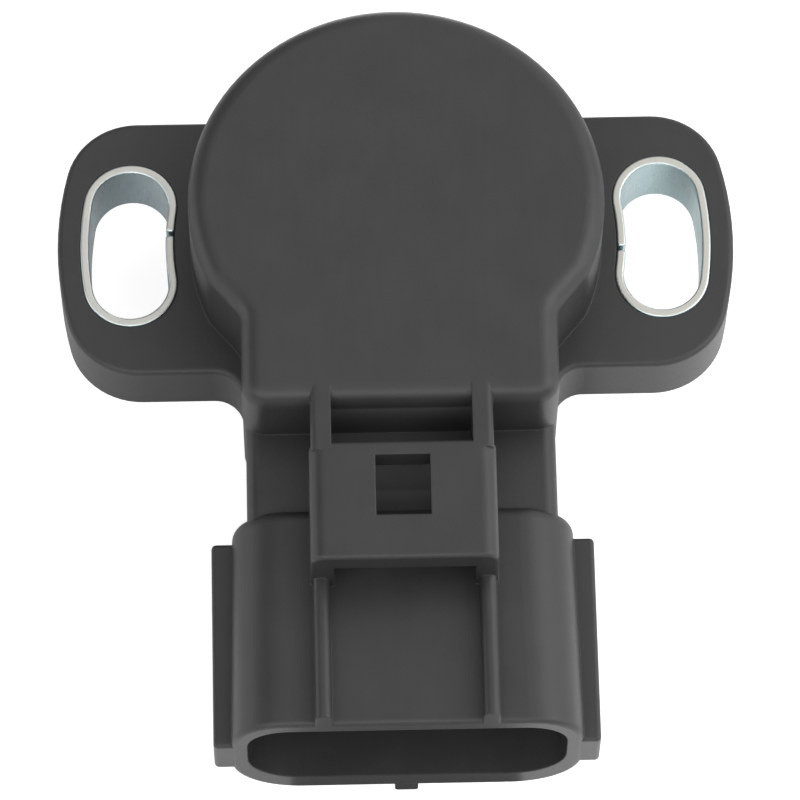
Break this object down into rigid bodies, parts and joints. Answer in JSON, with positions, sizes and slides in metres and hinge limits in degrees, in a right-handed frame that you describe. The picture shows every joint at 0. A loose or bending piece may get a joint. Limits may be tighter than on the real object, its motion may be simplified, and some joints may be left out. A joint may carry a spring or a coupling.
{
  "type": "throttle position sensor",
  "caption": "Black moulded throttle position sensor: round case, slotted ears lined with steel sleeves, latched connector shroud and a sprung rotor that a throttle shaft turns.",
  "frame": {"origin": "on the rotor's axis at the mounting face, the underside of the ears", "axes": "+Z along the rotor's axis towards the closed round face, -Y towards the connector's mouth, X along the ears"},
  "size_m": [0.0504, 0.0546, 0.0198],
  "materials": {
    "case_plastic": "fine moulded grain, glass-filled black",
    "bushing_steel": "bright zinc plate",
    "terminal_metal": "tin plate",
    "board_laminate": "laminate with a printed carbon track",
    "rotor_plastic": "natural acetal",
    "wiper_metal": "stamped spring alloy",
    "spring_steel": "drawn spring steel",
    "cover_plastic": "glass-filled black",
    "seal_rubber": "nitrile",
    "washer_steel": "stamped"
  },
  "bodies": {
    "case": {"housing": "case_plastic", "left_bushing": "bushing_steel", "right_bushing": "bushing_steel", "terminal_supply": "terminal_metal", "terminal_signal": "terminal_metal", "terminal_ground": "terminal_metal", "resistor_board": "board_laminate", "return_spring": "spring_steel", "bearing_cover": "cover_plastic", "cover_gasket": "seal_rubber", "pilot_o_ring": "seal_rubber", "rotor_seal": "seal_rubber", "thrust_washer": "washer_steel"},
    "rotor": {"rotor": "rotor_plastic", "wiper": "wiper_metal"}
  },
  "joints": [
    {"name": "rotor_turn", "type": "hinge", "parent": "case", "child": "rotor", "pos_m": [0, 0, 0], "axis": [0, 0, 1], "range_deg": [0, 100], "stiffness_Nm_per_rad": 0.004, "springref_deg": -97.4, "deforming": ["return_spring"]}
  ]
}
